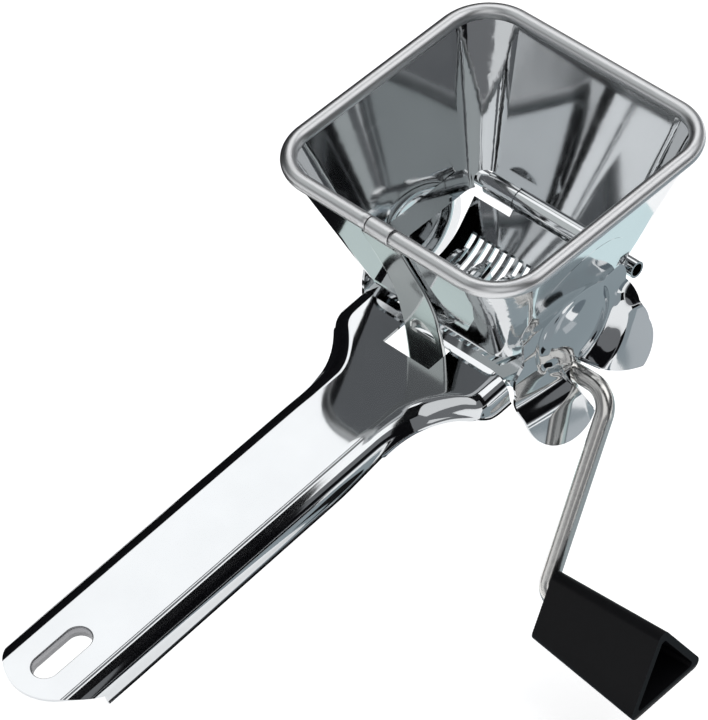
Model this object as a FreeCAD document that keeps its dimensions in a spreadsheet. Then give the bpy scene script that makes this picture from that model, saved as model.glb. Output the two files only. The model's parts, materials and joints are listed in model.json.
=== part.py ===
import FreeCAD, Part
import math
import os
import Sketcher

# Hand-cranked rotary herb mill in polished sheet steel.
# X runs along the hinge toward the crank, -Y toward the grip end, Z up.
# The origin is the middle of the hinge tube behind the hopper. Millimetres and degrees.

SIZES = {
    # sheet and rod stock
    "sheet": 0.8,
    "rod_diameter": 5.0,
    # hopper mouth
    "rim_span": 80.0,
    "rim_tube": 4.4,
    "rim_corner": 13.0,
    "rim_height": 40.8,
    "rim_ahead": 20.5,
    # hopper throat
    "throat_half": 25.0,
    "throat_front": 45.5,
    "throat_back": 0.9,
    "throat_drop": 41.0,
    "throat_corner": 6.0,
    # hinge
    "hinge_outer": 2.4,
    "hinge_bore": 1.8,
    "hinge_left": 26.0,
    "hinge_right": 28.6,
    "knuckle_outer": 3.3,
    "knuckle_gap": 0.05,
    "cradle_knuckle": 11.6,
    "knuckle_space": 0.4,
    # comb cradle
    "cradle_half": 24.0,
    "cradle_ahead": 46.0,
    "cradle_drop": 6.4,
    "cradle_front_slope": 19.0,
    "cradle_back_slope": 47.0,
    "cradle_bend": 16.0,
    "cradle_lap": 9.0,
    "lap_half": 19.6,
    "cradle_tail": 3.0,
    "cradle_tail_drop": 1.2,
    "slit_start": 3.5,
    "slit_stop": 7.0,
    "slit_count": 15,
    "slit_pitch": 2.7,
    "slit_width": 1.6,
    # rotor
    "axis_ahead": 23.5,
    "axis_drop": 19.2,
    "lug_radius": 6.5,
    "claw_reach": 13.0,
    "claw_hub": 4.0,
    "claw_sheet": 0.9,
    "claw_teeth": 3,
    "bush_wall": 1.0,
    "collar_wall": 1.4,
    "collar_length": 1.2,
    "clip_length": 0.8,
    "end_play": 0.1,
    "running_gap": 0.05,
    "press_gap": 0.02,
    # crank
    "crank_angle": 37.3,
    "crank_throw": 55.3,
    "crank_near": 40.0,
    "crank_far": 45.2,
    "crank_bend": 7.0,
    "pin_bend": 4.4,
    "pin_beyond": 4.0,
    "shaft_left": 26.2,
    # knob
    "knob_start": 49.5,
    "knob_length": 36.6,
    "knob_small": 11.2,
    "knob_large": 14.6,
    "knob_corner": 2.2,
    "knob_wall": 2.0,
    "knob_base": 6.0,
    # end cheeks
    "dish_ahead": 25.5,
    "dish_rise": 12.0,
    "dish_sink": 2.16,
    "dome_radius": 19.0,
    "dome_bulge": 7.4,
    "dish_ring": 1.5,
    "flare_radius": 50.0,
    "flare_rise": 9.6,
    "front_petal": 12.8,
    "front_petal_ahead": 8.5,
    "front_petal_drop": 0.4,
    "back_petal": 11.5,
    "back_petal_behind": 11.3,
    "back_petal_rise": 2.2,
    "cheek_depth": 60.0,
    "notch_half": 3.3,
    # latch strap
    "strap_width": 13.5,
    "strap_root_out": 0.95,
    "strap_root_drop": 3.37,
    "strap_roll": 1.2,
    "strap_knee": 52.5,
    "strap_knee_rise": 13.0,
    "strap_foot": 48.4,
    "strap_drop": 16.0,
    "strap_bend": 30.0,
    "strap_tip": 2.5,
    "catch_radius": 4.2,
    "catch_bulge": 1.5,
    "catch_drop": 3.0,
    # handle
    "droop": 3.4,
    "handle_ahead": 46.5,
    "handle_drop": 5.2,
    "handle_length": 147.0,
    "handle_depth": 8.8,
    "handle_bend": 5.5,
    "grip_half": 14.6,
    "grip_depth": 7.4,
    "end_depth": 8.4,
    "horn_half": 26.0,
    "horn_straight": 7.0,
    "horn_round": 6.5,
    "neck_length": 35.0,
    "neck_depth": 4.8,
    "neck_near": 13.0,
    "neck_far": 29.0,
    "end_round": 14.6,
    "window_half": 8.0,
    "window_near": 1.4,
    "window_far": 9.8,
    "window_corner": 0.8,
    "hang_width": 7.2,
    "hang_length": 18.0,
    "hang_inset": 5.6,
    "hang_collar": 2.6,
}

doc = FreeCAD.newDocument("herb_mill")
sheet = doc.addObject("Spreadsheet::Sheet", "sizes")
for row, (alias, value) in enumerate(SIZES.items(), start=1):
    sheet.set(f"A{row}", alias)
    sheet.set(f"B{row}", str(value))
    sheet.setAlias(f"B{row}", alias)
doc.recompute()

nodes = []


def size(alias):
    return float(getattr(sheet, alias))


def bind(item, prop, formula):
    item.setExpression(prop, formula)


def named(item, label):
    item.Label = label
    nodes.append(item)
    return item


def vector(x, y, z=0.0):
    return FreeCAD.Vector(x, y, z)


def turned(angle):
    return vector(math.cos(math.radians(angle)), math.sin(math.radians(angle)))


# Drawing helpers


def new_body(name):
    return doc.addObject("PartDesign::Body", name)


def new_sketch(body, role, name, height=None):
    plane = next(item for item in body.Origin.OriginFeatures if item.Role == role)
    sketch = body.newObject("Sketcher::SketchObject", name)
    sketch.AttachmentSupport = [(plane, "")]
    sketch.MapMode = "FlatFace"
    if height:
        bind(sketch, "AttachmentOffset.Base.z", height)
    return sketch


def draw(sketch, curves):
    for curve in curves:
        sketch.addGeometry(curve, False)


def add_circle(sketch, centre, radius_formula, radius):
    index = sketch.addGeometry(Part.Circle(centre, vector(0, 0, 1), radius), False)
    row = sketch.addConstraint(Sketcher.Constraint("Radius", index, radius))
    sketch.addConstraint(Sketcher.Constraint("DistanceX", -1, 1, index, 3, centre.x))
    sketch.addConstraint(Sketcher.Constraint("DistanceY", -1, 1, index, 3, centre.y))
    bind(sketch, f"Constraints[{row}]", radius_formula)


def line(start, end):
    return Part.LineSegment(start, end)


def arc(start, middle, end):
    return Part.Arc(start, middle, end)


def rounded_loop(corners, radii):
    """Closed outline of straight sides with a tangent arc at every corner that has a radius."""
    count = len(corners)
    entries = []
    for index, corner in enumerate(corners):
        back = (corners[index - 1] - corner).normalize()
        ahead = (corners[(index + 1) % count] - corner).normalize()
        radius = radii[index]
        half_angle = back.getAngle(ahead) / 2
        reach = radius / math.tan(half_angle)
        bisector = (back + ahead).normalize()
        middle = corner + bisector * (radius / math.sin(half_angle) - radius)
        entries.append((corner + back * reach, middle, corner + ahead * reach, radius))
    curves = []
    for index, (enter, middle, leave, radius) in enumerate(entries):
        if radius:
            curves.append(arc(enter, middle, leave))
        following = entries[(index + 1) % count][0]
        curves.append(line(leave, following))
    return curves


def open_path(corners, radii):
    """Polyline with one bend radius for each of its inner corners."""
    curves = []
    start = corners[0]
    for index, radius in enumerate(radii, start=1):
        corner = corners[index]
        back = (corners[index - 1] - corner).normalize()
        ahead = (corners[index + 1] - corner).normalize()
        half_angle = back.getAngle(ahead) / 2
        reach = radius / math.tan(half_angle)
        bisector = (back + ahead).normalize()
        middle = corner + bisector * (radius / math.sin(half_angle) - radius)
        curves.append(line(start, corner + back * reach))
        curves.append(arc(corner + back * reach, middle, corner + ahead * reach))
        start = corner + ahead * reach
    curves.append(line(start, corners[-1]))
    return curves


def add_pad(body, sketch, length, symmetric=False, backward=False):
    pad = body.newObject("PartDesign::Pad", sketch.Name + "_pad")
    pad.Profile = sketch
    bind(pad, "Length", length)
    pad.Midplane = symmetric
    pad.Reversed = backward
    return pad


def add_through(body, sketch):
    pocket = body.newObject("PartDesign::Pocket", sketch.Name + "_pocket")
    pocket.Profile = sketch
    pocket.Type = "ThroughAll"
    pocket.Midplane = True
    return pocket


def add_loft(body, kind, sketches, name):
    loft = body.newObject(kind, name)
    loft.Profile = sketches[0]
    loft.Sections = sketches[1:]
    loft.Ruled = True
    return loft


def combine(kind, base, tool, name):
    result = doc.addObject(kind, name)
    result.Base = base
    result.Tool = tool
    return result


def add_ring(name, outer, inner, length):
    """Plain ring about the X axis, starting at its own origin."""
    wall = doc.addObject("Part::Cylinder", name + "_wall")
    hole = doc.addObject("Part::Cylinder", name + "_hole")
    bind(wall, "Radius", outer)
    bind(hole, "Radius", inner)
    bind(wall, "Height", length)
    bind(hole, "Height", length)
    return combine("Part::Cut", wall, hole, name)


def along_x(item, x, y, z):
    """Turn a piece built along Z so that it runs along X from the given point."""
    item.Placement = FreeCAD.Placement(vector(x, y, z), FreeCAD.Rotation(vector(0, 1, 0), 90))


# Hopper mouth and throat

T = size("sheet")
RIM_HALF = size("rim_span") / 2
RIM_Y = -size("rim_ahead")
RIM_Z = size("rim_height")
RIM_R = size("rim_tube") / 2
AXIS_Y = -size("axis_ahead")
AXIS_Z = -size("axis_drop")


def mouth_corners(grow):
    half = RIM_HALF + grow
    near = RIM_Y - half
    far = RIM_Y + half
    return [vector(-half, near), vector(half, near), vector(half, far), vector(-half, far)]


def throat_corners(grow):
    half = size("throat_half") + grow
    near = -size("throat_front") - grow
    far = -size("throat_back") + grow
    return [vector(-half, near), vector(half, near), vector(half, far), vector(-half, far)]


def funnel_sketches(body, name, grow):
    mouth = new_sketch(body, "XY_Plane", name + "_mouth", "sizes.rim_height")
    draw(mouth, rounded_loop(mouth_corners(grow), [size("rim_corner") + grow] * 4))
    throat = new_sketch(body, "XY_Plane", name + "_throat", "sizes.rim_height - sizes.throat_drop")
    draw(throat, rounded_loop(throat_corners(grow), [size("throat_corner") + grow] * 4))
    return [mouth, throat]


def make_rim():
    body = new_body("rim_body")
    path = new_sketch(body, "XY_Plane", "rim_path", "sizes.rim_height")
    draw(path, rounded_loop(mouth_corners(0), [size("rim_corner")] * 4))
    profile = new_sketch(body, "YZ_Plane", "rim_profile")
    add_circle(profile, vector(RIM_Y - RIM_HALF, RIM_Z), "sizes.rim_tube / 2", RIM_R)
    pipe = body.newObject("PartDesign::AdditivePipe", "rim_pipe")
    pipe.Profile = profile
    pipe.Spine = path
    return named(body, "rim_roll")


rim = make_rim()

# Wall line of the back of the hopper, used where the hinge knuckles meet it
BACK_TOP = vector(RIM_Y + RIM_HALF, RIM_Z)
BACK_LOW = vector(-size("throat_back"), RIM_Z - size("throat_drop"))
KNUCKLE_R = size("knuckle_outer")
BORE_R = size("hinge_outer") + size("knuckle_gap")
CLEAR_R = KNUCKLE_R + size("knuckle_space")


def back_wall_at(height):
    share = (height - BACK_LOW.y) / (BACK_TOP.y - BACK_LOW.y)
    return BACK_LOW.x + share * (BACK_TOP.x - BACK_LOW.x)


def make_knuckle(name, left, right, tab):
    """Rolled hinge knuckle with the strip of sheet that joins it to its wall."""
    body = new_body(name)
    strip = new_sketch(body, "YZ_Plane", name + "_strip", left)
    draw(strip, rounded_loop(tab, [0] * len(tab)))
    add_pad(body, strip, f"{right} - ({left})")
    roll = new_sketch(body, "YZ_Plane", name + "_roll", left)
    add_circle(roll, vector(0, 0), "sizes.knuckle_outer", KNUCKLE_R)
    add_pad(body, roll, f"{right} - ({left})")
    hole = new_sketch(body, "YZ_Plane", name + "_bore", left)
    add_circle(hole, vector(0, 0), "sizes.hinge_outer + sizes.knuckle_gap", BORE_R)
    add_through(body, hole)
    return body


def dish_curve(shift):
    """Half profile of a cheek: domed middle, flat ring and flared skirt, moved along its axis."""
    dome = size("dome_radius")
    bulge = size("dome_bulge")
    ball = (dome ** 2 + bulge ** 2) / (2 * bulge)
    slant = math.asin(dome / ball) / 2
    apex = vector(0, bulge + shift)
    middle = vector(ball * math.sin(slant), bulge - ball + ball * math.cos(slant) + shift)
    ring = dome + size("dish_ring")
    corners = [apex, middle, vector(dome, shift), vector(ring, shift)]
    return corners + [vector(size("flare_radius"), size("flare_rise") + shift)]


def dish_profile(outer, inner):
    curves = [arc(*outer[:3]), line(outer[2], outer[3]), line(outer[3], outer[4]), line(outer[4], inner[4])]
    curves += [line(inner[4], inner[3]), line(inner[3], inner[2]), arc(inner[2], inner[1], inner[0])]
    return curves + [line(inner[0], outer[0])]


def end_wall_at(height):
    """Outer face of the hopper's end wall at a height."""
    share = (height - RIM_Z + size("throat_drop")) / size("throat_drop")
    return size("throat_half") + share * (RIM_HALF - size("throat_half")) + T


def revolve_dish(name, curves):
    body = new_body(name)
    sketch = new_sketch(body, "XZ_Plane", name + "_profile")
    draw(sketch, curves)
    turn = body.newObject("PartDesign::Revolution", name + "_turn")
    turn.Profile = sketch
    turn.ReferenceAxis = (sketch, ["V_Axis"])
    turn.Angle = 360
    spin = FreeCAD.Rotation(vector(0, 1, 0), 90)
    out = end_wall_at(size("dish_rise")) - size("dish_sink")
    place = vector(out, -size("dish_ahead"), size("dish_rise"))
    body.Placement = FreeCAD.Placement(place, spin)
    return body


def make_pocket_plug():
    """Inside of the dome, which opens into the hopper."""
    inner = dish_curve(-T)
    foot = vector(0, inner[2].y)
    curves = [arc(*inner[:3]), line(inner[2], foot), line(foot, inner[0])]
    return revolve_dish("dome_plug", curves)


def make_hopper():
    body = new_body("funnel")
    add_loft(body, "PartDesign::AdditiveLoft", funnel_sketches(body, "wall", T), "wall_loft")
    add_loft(body, "PartDesign::SubtractiveLoft", funnel_sketches(body, "room", 0), "room_loft")
    open_mouth = combine("Part::Cut", body, rim, "funnel_under_rim")
    space = doc.addObject("Part::Cylinder", "knuckle_clearance")
    bind(space, "Radius", "sizes.knuckle_outer + sizes.knuckle_space")
    bind(space, "Height", "2 * sizes.throat_half + 4 * sizes.throat_corner")
    along_x(space, -size("throat_half") - 2 * size("throat_corner"), 0, 0)
    trimmed = combine("Part::Cut", open_mouth, space, "funnel_over_hinge")
    plug = make_pocket_plug()
    far_plug = doc.addObject("Part::Mirroring", "far_dome_plug")
    far_plug.Source = plug
    far_plug.Normal = vector(1, 0, 0)
    near_open = combine("Part::Cut", trimmed, plug, "funnel_near_dome")
    both_open = combine("Part::Cut", near_open, far_plug, "funnel_both_domes")
    top = CLEAR_R + T
    tab = [vector(back_wall_at(0), 0), vector(back_wall_at(0) + T, 0)]
    tab += [vector(back_wall_at(top) + T, top), vector(back_wall_at(top), top)]
    inside = "sizes.cradle_knuckle + sizes.knuckle_space"
    outside = "sizes.throat_half - sizes.throat_corner / 2"
    right = make_knuckle("right_knuckle", inside, outside, tab)
    left = make_knuckle("left_knuckle", f"-({outside})", f"-({inside})", tab)
    with_right = combine("Part::Fuse", both_open, right, "funnel_right_knuckle")
    return named(combine("Part::Fuse", with_right, left, "funnel_knuckles"), "hopper_shell")


make_hopper()


# End cheeks with their domes and flared petals

PETAL_FRONT = vector(AXIS_Y - size("front_petal_ahead"), AXIS_Z - size("front_petal_drop"))
PETAL_BACK = vector(AXIS_Y + size("back_petal_behind"), AXIS_Z + size("back_petal_rise"))
NOTCH_SWEEP = 100


def make_outline_pad(name, centre, formula, radius):
    body = new_body(name)
    sketch = new_sketch(body, "YZ_Plane", name + "_circle")
    add_circle(sketch, centre, formula, radius)
    add_pad(body, sketch, "sizes.cheek_depth")
    return body


def make_skirt():
    """Short straight skirt between the dome and the petals."""
    body = new_body("skirt")
    sketch = new_sketch(body, "YZ_Plane", "skirt_outline")
    half = size("dome_radius") - 1.5 * size("dish_ring")
    middle = -size("dish_ahead")
    low = AXIS_Z
    high = size("dish_rise") - size("dome_radius") / 2
    corners = [vector(middle - half, low), vector(middle + half, low)]
    corners += [vector(middle + half, high), vector(middle - half, high)]
    draw(sketch, rounded_loop(corners, [0] * 4))
    add_pad(body, sketch, "sizes.cheek_depth")
    return body


def make_notch():
    """Path that the crank shaft leaves by when the hopper is swung up about the hinge."""
    body = new_body("shaft_notch")
    reach = math.hypot(AXIS_Y, AXIS_Z)
    start = math.degrees(math.atan2(AXIS_Z, AXIS_Y))
    near = reach - size("notch_half")
    far = reach + size("notch_half")
    finish = start + NOTCH_SWEEP
    middle = start + NOTCH_SWEEP / 2
    behind = turned(start) * reach + turned(start - 90) * size("notch_half")
    sketch = new_sketch(body, "YZ_Plane", "notch_band")
    curves = [arc(turned(start) * near, turned(middle) * near, turned(finish) * near)]
    curves.append(line(turned(finish) * near, turned(finish) * far))
    curves.append(arc(turned(finish) * far, turned(middle) * far, turned(start) * far))
    curves.append(arc(turned(start) * far, behind, turned(start) * near))
    draw(sketch, curves)
    add_pad(body, sketch, "sizes.cheek_depth")
    return body


def make_wall_wedge():
    """Everything inside the outer face of the hopper's end wall, where a cheek is cut away."""
    body = new_body("wall_wedge")
    sketch = new_sketch(body, "XZ_Plane", "wall_wedge_section")
    low = RIM_Z - size("throat_drop")
    corners = [vector(0, low), vector(end_wall_at(low), low)]
    corners += [vector(end_wall_at(RIM_Z), RIM_Z), vector(0, RIM_Z)]
    draw(sketch, rounded_loop(corners, [0] * 4))
    add_pad(body, sketch, "2 * sizes.rim_span", symmetric=True)
    return body


def make_cheeks():
    dish = revolve_dish("dish", dish_profile(dish_curve(0), dish_curve(-T)))
    dome_centre = vector(-size("dish_ahead"), size("dish_rise"))
    pads = [make_outline_pad("dome_outline", dome_centre, "sizes.dome_radius", size("dome_radius"))]
    pads.append(make_skirt())
    pads.append(make_outline_pad("front_petal", PETAL_FRONT, "sizes.front_petal", size("front_petal")))
    back_petal = make_outline_pad("back_petal", PETAL_BACK, "sizes.back_petal", size("back_petal"))
    reach = math.hypot(AXIS_Y, AXIS_Z) - size("notch_half")
    swing = make_outline_pad("swing_limit", vector(0, 0), f"{reach}", reach)
    pads.append(doc.addObject("Part::MultiCommon", "back_petal_inside"))
    pads[-1].Shapes = [back_petal, swing]
    outline = doc.addObject("Part::MultiFuse", "cheek_outline")
    outline.Shapes = pads
    petals = doc.addObject("Part::MultiCommon", "cheek_petals")
    petals.Shapes = [dish, outline]
    notched = combine("Part::Cut", petals, make_notch(), "cheek_notched")
    crank_side = combine("Part::Cut", notched, make_wall_wedge(), "cheek_crank_side")
    far_side = doc.addObject("Part::Mirroring", "cheek_far_side")
    far_side.Source = crank_side
    far_side.Normal = vector(1, 0, 0)
    named(crank_side, "crank_cheek")
    named(far_side, "far_cheek")


make_cheeks()


# Hinge tube


def make_hinge():
    tube = add_ring("hinge", "sizes.hinge_outer", "sizes.hinge_bore", "sizes.hinge_left + sizes.hinge_right")
    along_x(tube, -size("hinge_left"), 0, 0)
    return named(tube, "hinge_tube")


make_hinge()


# Comb cradle under the hopper

CRADLE_FRONT = vector(-size("cradle_ahead"), -size("cradle_drop"))
FRONT_RUN = turned(-size("cradle_front_slope"))
BACK_RUN = turned(size("cradle_back_slope"))
BACK_END = vector(-size("cradle_tail"), -size("cradle_tail_drop"))


def cradle_valley():
    """Where the straight front and back runs of the cradle would meet."""
    gap = BACK_END - CRADLE_FRONT
    cross = FRONT_RUN.x * BACK_RUN.y - FRONT_RUN.y * BACK_RUN.x
    share = (gap.x * BACK_RUN.y - gap.y * BACK_RUN.x) / cross
    return CRADLE_FRONT + FRONT_RUN * share


def strip_outline(upper, radius):
    """Sheet of constant thickness whose upper face follows the points, bent upward at one of them."""
    lower = []
    for index, point in enumerate(upper):
        before = upper[max(index - 1, 0)]
        after = upper[min(index + 1, len(upper) - 1)]
        into = (point - before).normalize() if index else (after - point).normalize()
        out = (after - point).normalize() if index < len(upper) - 1 else into
        mean = (into + out).normalize()
        down = vector(mean.y, -mean.x)
        lower.append(point + down * (T / math.cos(into.getAngle(out) / 2)))
    corners = upper + lower[::-1]
    radii = [0] * len(corners)
    bend = 2
    radii[bend] = radius
    radii[len(corners) - 1 - bend] = radius + T
    return rounded_loop(corners, radii)


def lug_outline():
    """Side flange of the cradle, hung from its underside and rounded about the shaft."""
    centre = vector(AXIS_Y, AXIS_Z)
    radius = size("lug_radius")
    front = CRADLE_FRONT + vector(0, -T / 2)
    back = cradle_valley() + BACK_RUN * (size("cradle_bend") * 0.9) + vector(0, -T / 2)
    bend = size("cradle_bend") + T / 2
    crown = rounded_loop([front, cradle_valley() + vector(0, -T / 2), back, centre], [0, bend, 0, 0])[:3]
    side = math.degrees(math.asin(radius / (front - centre).Length))
    toward = math.degrees(math.atan2((front - centre).y, (front - centre).x))
    front_touch = centre + turned(toward + 90 - side) * radius
    other = math.degrees(math.asin(radius / (back - centre).Length))
    onward = math.degrees(math.atan2((back - centre).y, (back - centre).x))
    back_touch = centre + turned(onward - 90 + other) * radius
    low = centre + (front_touch + back_touch - centre * 2).normalize() * radius
    curves = crown + [line(back, back_touch), arc(back_touch, low, front_touch)]
    return curves + [line(front_touch, front)]


def make_cradle():
    body = new_body("cradle")
    droop = turned(180 + size("droop"))
    lap_end = CRADLE_FRONT + droop * size("cradle_lap")
    upper = [lap_end, CRADLE_FRONT, cradle_valley()]
    upper.append(BACK_END - BACK_RUN * (KNUCKLE_R - size("cradle_tail_drop")))
    profile = new_sketch(body, "YZ_Plane", "cradle_profile")
    draw(profile, strip_outline(upper, size("cradle_bend")))
    add_pad(body, profile, "2 * sizes.cradle_half", symmetric=True)
    tongue = new_sketch(body, "YZ_Plane", "cradle_tongue")
    normal = vector(BACK_RUN.y, -BACK_RUN.x) * T
    low = BACK_END - BACK_RUN * KNUCKLE_R
    high = BACK_END + BACK_RUN * T
    draw(tongue, rounded_loop([low, high, high + normal, low + normal], [0] * 4))
    add_pad(body, tongue, "2 * sizes.cradle_knuckle", symmetric=True)
    roll = new_sketch(body, "YZ_Plane", "cradle_roll")
    add_circle(roll, vector(0, 0), "sizes.knuckle_outer", KNUCKLE_R)
    add_pad(body, roll, "2 * sizes.cradle_knuckle", symmetric=True)
    for name, height in (("right", "sizes.cradle_half - sizes.sheet"), ("left", "-sizes.cradle_half")):
        flange = new_sketch(body, "YZ_Plane", name + "_flange", height)
        draw(flange, lug_outline())
        add_pad(body, flange, "sizes.sheet")
    bore = new_sketch(body, "YZ_Plane", "cradle_bore")
    hinge_fit = size("hinge_outer") + size("press_gap")
    add_circle(bore, vector(0, 0), "sizes.hinge_outer + sizes.press_gap", hinge_fit)
    add_through(body, bore)
    eyes = new_sketch(body, "YZ_Plane", "cradle_eyes")
    eye_radius = size("rod_diameter") / 2 + size("bush_wall") + size("press_gap")
    eye_formula = "sizes.rod_diameter / 2 + sizes.bush_wall + sizes.press_gap"
    add_circle(eyes, vector(AXIS_Y, AXIS_Z), eye_formula, eye_radius)
    add_through(body, eyes)
    window = new_sketch(body, "XY_Plane", "cradle_window")
    wide = size("window_half") + T
    near = CRADLE_FRONT.x - T
    far = lap_end.x - T
    corners = [vector(-wide, far), vector(wide, far), vector(wide, near), vector(-wide, near)]
    draw(window, rounded_loop(corners, [0] * 4))
    add_through(body, window)
    ears = new_sketch(body, "XY_Plane", "lap_ears")
    for sign in (-1, 1):
        inner = sign * size("lap_half")
        outer = sign * (size("cradle_half") + T)
        corners = [vector(inner, far), vector(outer, far)]
        corners += [vector(outer, CRADLE_FRONT.x), vector(inner, CRADLE_FRONT.x)]
        draw(ears, rounded_loop(corners, [0] * 4))
    add_through(body, ears)
    slit = new_sketch(body, "XY_Plane", "first_slit")
    half = size("slit_width") / 2
    first = -(size("slit_count") - 1) / 2 * size("slit_pitch")
    start = CRADLE_FRONT.x + size("slit_start")
    stop = BACK_END.x - size("slit_stop")
    ends = [vector(first - half, start), vector(first + half, start)]
    ends += [vector(first + half, stop), vector(first - half, stop)]
    draw(slit, rounded_loop(ends, [0] * 4))
    cut = add_through(body, slit)
    row = body.newObject("PartDesign::LinearPattern", "slit_row")
    row.Originals = [cut]
    row.Direction = (slit, ["H_Axis"])
    bind(row, "Length", "(sizes.slit_count - 1) * sizes.slit_pitch")
    bind(row, "Occurrences", "sizes.slit_count")
    body.Tip = row
    return named(body, "comb_cradle")


make_cradle()


# Shaft bushes, clip and collar


def make_bush(label, sign):
    outer = "sizes.rod_diameter / 2 + sizes.bush_wall"
    inner = "sizes.rod_diameter / 2 + sizes.running_gap"
    tube = add_ring(label + "_tube", outer, inner, "3 * sizes.sheet")
    along_x(tube, sign * (size("cradle_half") - T / 2) - 1.5 * T, AXIS_Y, AXIS_Z)
    return named(tube, label)


def make_collar(label, start, length):
    outer = "sizes.rod_diameter / 2 + sizes.collar_wall"
    inner = "sizes.rod_diameter / 2 + sizes.press_gap"
    ring = add_ring(label + "_ring", outer, inner, length)
    along_x(ring, start, AXIS_Y, AXIS_Z)
    return named(ring, label)


make_bush("far_bush", -1)
make_bush("crank_bush", 1)
BUSH_END = size("cradle_half") + T + size("end_play")
make_collar("shaft_collar", BUSH_END, "sizes.collar_length")
make_collar("shaft_clip", -BUSH_END - size("clip_length"), "sizes.clip_length")


# Crank rod, which is shaft, arm and knob pin in one


def make_crank():
    body = new_body("crank")
    path = new_sketch(body, "XZ_Plane", "crank_path")
    throw = -size("crank_throw")
    pin_end = size("knob_start") + size("knob_base") + size("pin_beyond")
    corners = [vector(-size("shaft_left"), 0), vector(size("crank_near"), 0)]
    corners += [vector(size("crank_far"), throw), vector(pin_end, throw)]
    draw(path, open_path(corners, [size("crank_bend"), size("pin_bend")]))
    profile = new_sketch(body, "YZ_Plane", "crank_section", "-sizes.shaft_left")
    add_circle(profile, vector(0, 0), "sizes.rod_diameter / 2", size("rod_diameter") / 2)
    pipe = body.newObject("PartDesign::AdditivePipe", "crank_pipe")
    pipe.Profile = profile
    pipe.Spine = path
    swing = FreeCAD.Rotation(vector(1, 0, 0), -size("crank_angle"))
    body.Placement = FreeCAD.Placement(vector(0, AXIS_Y, AXIS_Z), swing)
    return named(body, "crank_rod")


make_crank()


# Rotor claws, one for every slit of the comb

PHASE_STEP = 40
TOOTH_LEAD = 14
ROOT_SHARE = 0.9
BACK_SHARE = 0.66
BACK_TURN = 0.36


def claw_outline():
    """Hooked teeth: a straight cutting edge up to each tip and a long curved back."""
    teeth = int(size("claw_teeth"))
    step = 360 / teeth
    hub = size("claw_hub") * ROOT_SHARE
    tip = size("claw_reach")
    middle = size("claw_reach") * BACK_SHARE
    curves = []
    for index in range(teeth):
        turn = index * step
        root = turned(turn) * hub
        point = turned(turn - TOOTH_LEAD) * tip
        shoulder = turned(turn + step * BACK_TURN) * middle
        following = turned(turn + step) * hub
        curves.append(line(root, point))
        curves.append(arc(point, shoulder, following))
    return curves


def make_claw(number):
    name = f"claw_{number:02d}"
    body = new_body(name + "_body")
    plate = new_sketch(body, "YZ_Plane", name + "_plate")
    draw(plate, claw_outline())
    add_pad(body, plate, "sizes.claw_sheet", symmetric=True)
    hub = new_sketch(body, "YZ_Plane", name + "_hub")
    add_circle(hub, vector(0, 0), "sizes.claw_hub", size("claw_hub"))
    add_pad(body, hub, "sizes.slit_pitch - sizes.press_gap", symmetric=True)
    hole = new_sketch(body, "YZ_Plane", name + "_hole")
    bore = size("rod_diameter") / 2 + size("press_gap")
    add_circle(hole, vector(0, 0), "sizes.rod_diameter / 2 + sizes.press_gap", bore)
    add_through(body, hole)
    place = (number - (size("slit_count") + 1) / 2) * size("slit_pitch")
    spin = FreeCAD.Rotation(vector(1, 0, 0), PHASE_STEP * (number % 3))
    body.Placement = FreeCAD.Placement(vector(place, AXIS_Y, AXIS_Z), spin)
    return named(body, name)


for claw_number in range(1, int(size("slit_count")) + 1):
    make_claw(claw_number)


# Knob on the crank pin

PIN_Y = AXIS_Y - size("crank_throw") * math.sin(math.radians(size("crank_angle")))
PIN_Z = AXIS_Z - size("crank_throw") * math.cos(math.radians(size("crank_angle")))


def triangle(radius, corner):
    corners = [turned(90 + 120 * index) * radius for index in range(3)]
    return rounded_loop(corners, [corner] * 3)


def make_knob():
    body = new_body("knob_body")
    small = size("knob_small") + size("knob_corner")
    large = size("knob_large") + size("knob_corner")
    base = new_sketch(body, "YZ_Plane", "knob_base_section")
    draw(base, triangle(small, size("knob_corner")))
    mouth = new_sketch(body, "YZ_Plane", "knob_mouth_section", "sizes.knob_length")
    draw(mouth, triangle(large, size("knob_corner")))
    add_loft(body, "PartDesign::AdditiveLoft", [base, mouth], "knob_loft")
    inset = 2 * size("knob_wall")
    share = size("knob_base") / size("knob_length")
    floor_radius = small + (large - small) * share - inset
    floor = new_sketch(body, "YZ_Plane", "knob_floor", "sizes.knob_base")
    draw(floor, triangle(floor_radius, size("knob_corner") / 2))
    opening = new_sketch(body, "YZ_Plane", "knob_opening", "sizes.knob_length")
    draw(opening, triangle(large - inset, size("knob_corner") / 2))
    add_loft(body, "PartDesign::SubtractiveLoft", [floor, opening], "knob_hollow")
    hole = new_sketch(body, "YZ_Plane", "knob_bore")
    bore = size("rod_diameter") / 2 + size("running_gap")
    add_circle(hole, vector(0, 0), "sizes.rod_diameter / 2 + sizes.running_gap", bore)
    add_through(body, hole)
    body.Placement = FreeCAD.Placement(vector(size("knob_start"), PIN_Y, PIN_Z), FreeCAD.Rotation())
    named(body, "knob")
    outer = "sizes.rod_diameter / 2 + sizes.bush_wall"
    clip = add_ring("pin_clip", outer, "sizes.rod_diameter / 2 + sizes.press_gap", "sizes.clip_length")
    along_x(clip, size("knob_start") + size("knob_base") + size("end_play"), PIN_Y, PIN_Z)
    named(clip, "knob_clip")


make_knob()


# Latch strap, rolled under the rim and hanging through the window of the handle


def bent_strip(points, radius):
    """Section of a sheet with one bend, from its inner face outward."""
    start, knee, end = points
    into = (knee - start).normalize()
    out = (end - knee).normalize()
    mean = (into + out).normalize()
    offsets = [vector(into.y, -into.x), vector(mean.y, -mean.x), vector(out.y, -out.x)]
    offsets[1] = offsets[1] / math.cos(into.getAngle(out) / 2)
    outer = [point + offset * T for point, offset in zip(points, offsets)]
    return rounded_loop(points + outer[::-1], [0, radius, 0, 0, radius + T, 0])


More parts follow.
